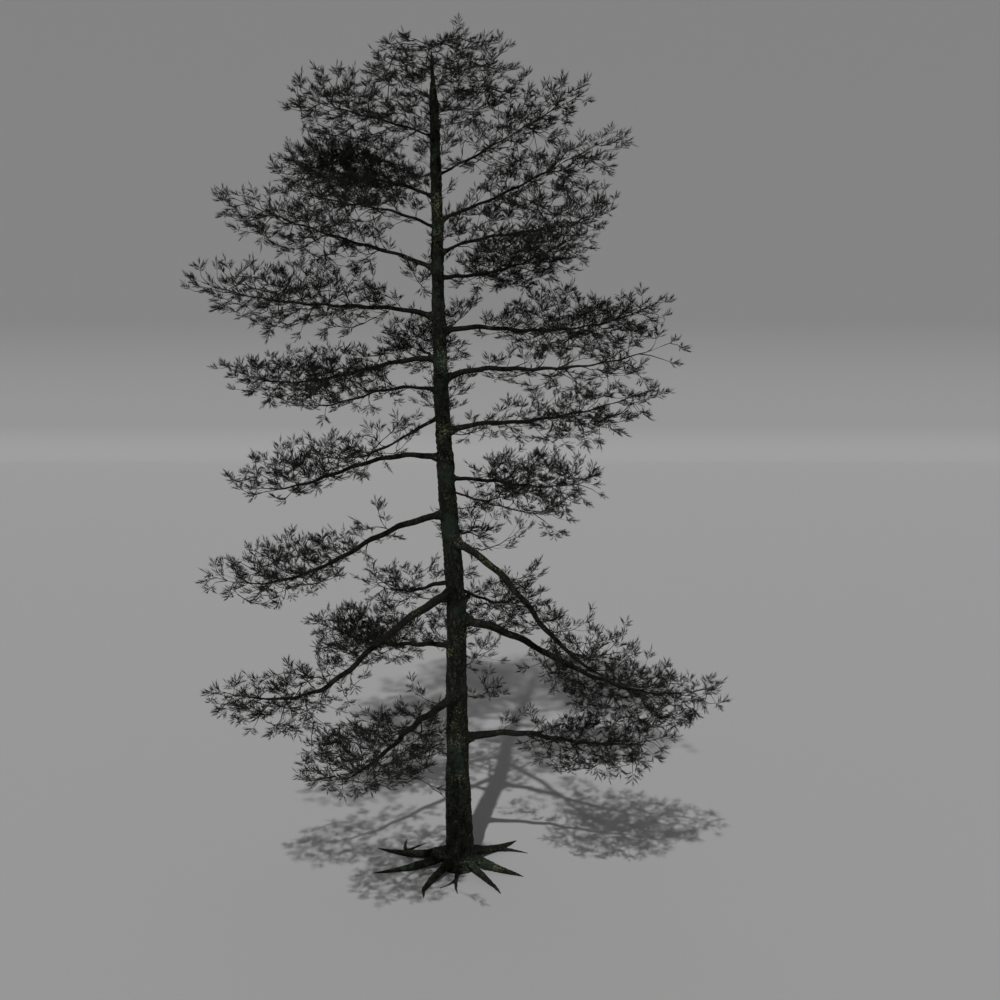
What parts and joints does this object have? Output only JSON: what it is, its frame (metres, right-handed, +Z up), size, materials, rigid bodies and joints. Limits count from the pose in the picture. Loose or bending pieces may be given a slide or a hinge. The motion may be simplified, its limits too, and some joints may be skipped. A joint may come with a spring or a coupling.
{
  "type": "pine tree, whole standing tree",
  "caption": "Tall open-grown pine with a straight, slightly leaning trunk, claw-like surface roots and long boughs that carry flat, uneven masses of needles.",
  "frame": {"origin": "centre of the flat cut under the trunk, at ground level", "axes": "+Z up the trunk, +X to the right in the view that shows the longest low bough on the right, +Y away from the viewer"},
  "size_m": [7.2947, 5.937, 12],
  "materials": {
    "bark": "rough",
    "needles": "matte"
  },
  "bodies": {
    "root": {"bough_back_1": "bark", "bough_back_2": "bark", "bough_back_3": "bark", "bough_left_1": "bark", "bough_left_10": "bark", "bough_left_11": "bark", "bough_left_12": "bark", "bough_left_13": "bark", "bough_left_14": "bark", "bough_left_2": "bark", "bough_left_3": "bark", "bough_left_4": "bark", "bough_left_5": "bark", "bough_left_6": "bark", "bough_left_7": "bark", "bough_left_8": "bark", "bough_left_9": "bark", "bough_right_1": "bark", "bough_right_10": "bark", "bough_right_11": "bark", "bough_right_12": "bark", "bough_right_2": "bark", "bough_right_3": "bark", "bough_right_4": "bark", "bough_right_5": "bark", "bough_right_6": "bark", "bough_right_7": "bark", "bough_right_8": "bark", "bough_right_9": "bark", "mass_back_1": "needles", "mass_back_2": "needles", "mass_back_3": "needles", "mass_left_1": "needles", "mass_left_10": "needles", "mass_left_11": "needles", "mass_left_12": "needles", "mass_left_13": "needles", "mass_left_14": "needles", "mass_left_2": "needles", "mass_left_3": "needles", "mass_left_4": "needles", "mass_left_5": "needles", "mass_left_6": "needles", "mass_left_7": "needles", "mass_left_8": "needles", "mass_left_9": "needles", "mass_right_1": "needles", "mass_right_10": "needles", "mass_right_11": "needles", "mass_right_12": "needles", "mass_right_2": "needles", "mass_right_3": "needles", "mass_right_4": "needles", "mass_right_5": "needles", "mass_right_6": "needles", "mass_right_7": "needles", "mass_right_8": "needles", "mass_right_9": "needles", "mass_top": "needles", "trunk": "bark"}
  },
  "joints": []
}
